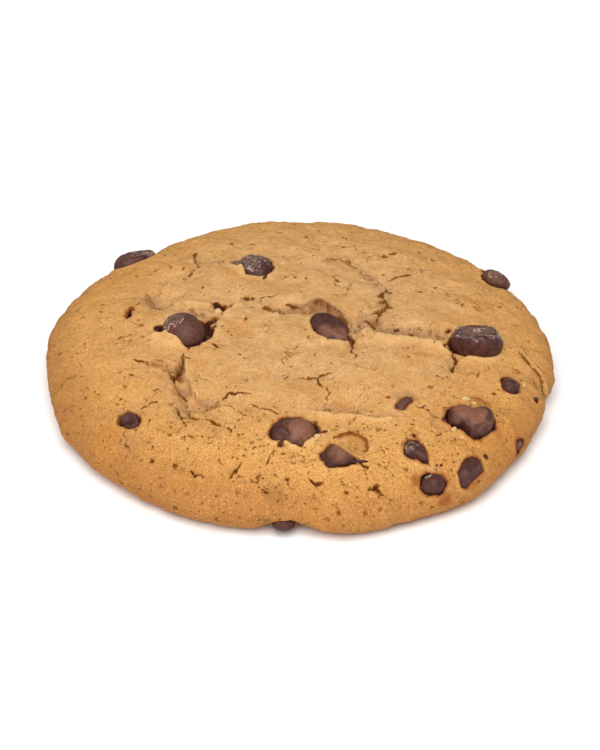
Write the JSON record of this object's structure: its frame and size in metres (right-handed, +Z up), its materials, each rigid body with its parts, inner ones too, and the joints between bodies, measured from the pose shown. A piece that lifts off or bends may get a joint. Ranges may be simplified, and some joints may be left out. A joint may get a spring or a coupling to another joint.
{
  "type": "chocolate chip cookie",
  "caption": "Thick round domed cookie of baked dough with a cracked top and chocolate chips set in its top and rim.",
  "frame": {"origin": "centre of the cookie's box in plan, on the surface that it lies on", "axes": "+Z up out of the domed top, +X to the right and -Y to the front"},
  "size_m": [0.102, 0.1, 0.0184],
  "materials": {
    "baked_dough": "matte golden-brown baked crust, finely pitted, paler in the cracks and browner low on the rim",
    "dark_chocolate": "satin dark chocolate with a dusty grey bloom on the upper faces"
  },
  "bodies": {
    "root": {"dough": "baked_dough", "chip_rim_back_left": "dark_chocolate", "chip_rim_back_right": "dark_chocolate", "chip_back": "dark_chocolate", "chip_left_dome": "dark_chocolate", "chip_middle": "dark_chocolate", "chip_right_large": "dark_chocolate", "chip_right_small": "dark_chocolate", "chip_right_heart": "dark_chocolate", "chip_front_diamond": "dark_chocolate", "chip_front_dome": "dark_chocolate", "chip_front_wedge": "dark_chocolate", "chip_front_drop": "dark_chocolate", "chip_front_shard": "dark_chocolate", "chip_front_bead": "dark_chocolate", "chip_left_flush": "dark_chocolate", "chip_front_foot": "dark_chocolate", "chip_right_sliver": "dark_chocolate"}
  },
  "joints": []
}
